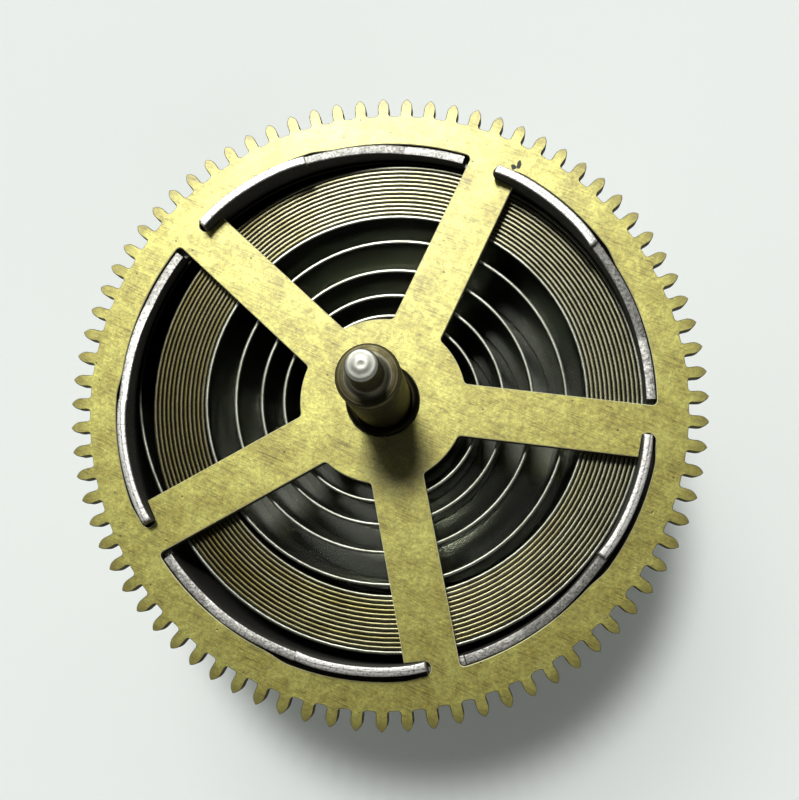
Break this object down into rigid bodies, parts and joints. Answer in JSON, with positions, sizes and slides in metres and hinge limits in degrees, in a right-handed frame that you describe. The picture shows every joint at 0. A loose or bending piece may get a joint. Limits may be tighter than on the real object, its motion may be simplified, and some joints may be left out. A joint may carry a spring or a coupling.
{
  "type": "clock going barrel",
  "caption": "Going barrel of a spring-driven pendulum clock: a crossed-out great wheel closes a steel drum with a coiled mainspring on a turned arbor.",
  "frame": {"origin": "on the arbor's axis, at the middle of the back plate that the rear pivot runs in, 1 mm above the rear pivot's shoulder", "axes": "+Z along the arbor towards its rear pivot, +X and +Y across the great wheel; the picture looks along -Z from the rear pivot's side"},
  "size_m": [0.066, 0.066, 0.0487],
  "materials": {
    "wheel_brass": "satin, scratched",
    "bush_brass": "turned",
    "drum_steel": "drawn, satin",
    "dark_steel": "turned, oiled",
    "bright_steel": "turned",
    "spring_steel": "rolled and tempered"
  },
  "bodies": {
    "arbor": {"arbor": "dark_steel", "arbor_core": "bright_steel", "core_pin": "bright_steel", "core_hook": "bright_steel"},
    "barrel": {"great_wheel": "wheel_brass", "wheel_bush": "dark_steel", "barrel_drum": "drum_steel", "drum_bush": "bush_brass", "wall_hook": "bright_steel", "mainspring": "spring_steel"}
  },
  "joints": [
    {"name": "barrel_turn", "type": "hinge", "parent": "arbor", "child": "barrel", "pos_m": [0, 0, 0], "axis": [0, 0, 1], "range_deg": [-3560, 0], "stiffness_Nm_per_rad": 0.0079, "deforming": ["mainspring"]}
  ]
}
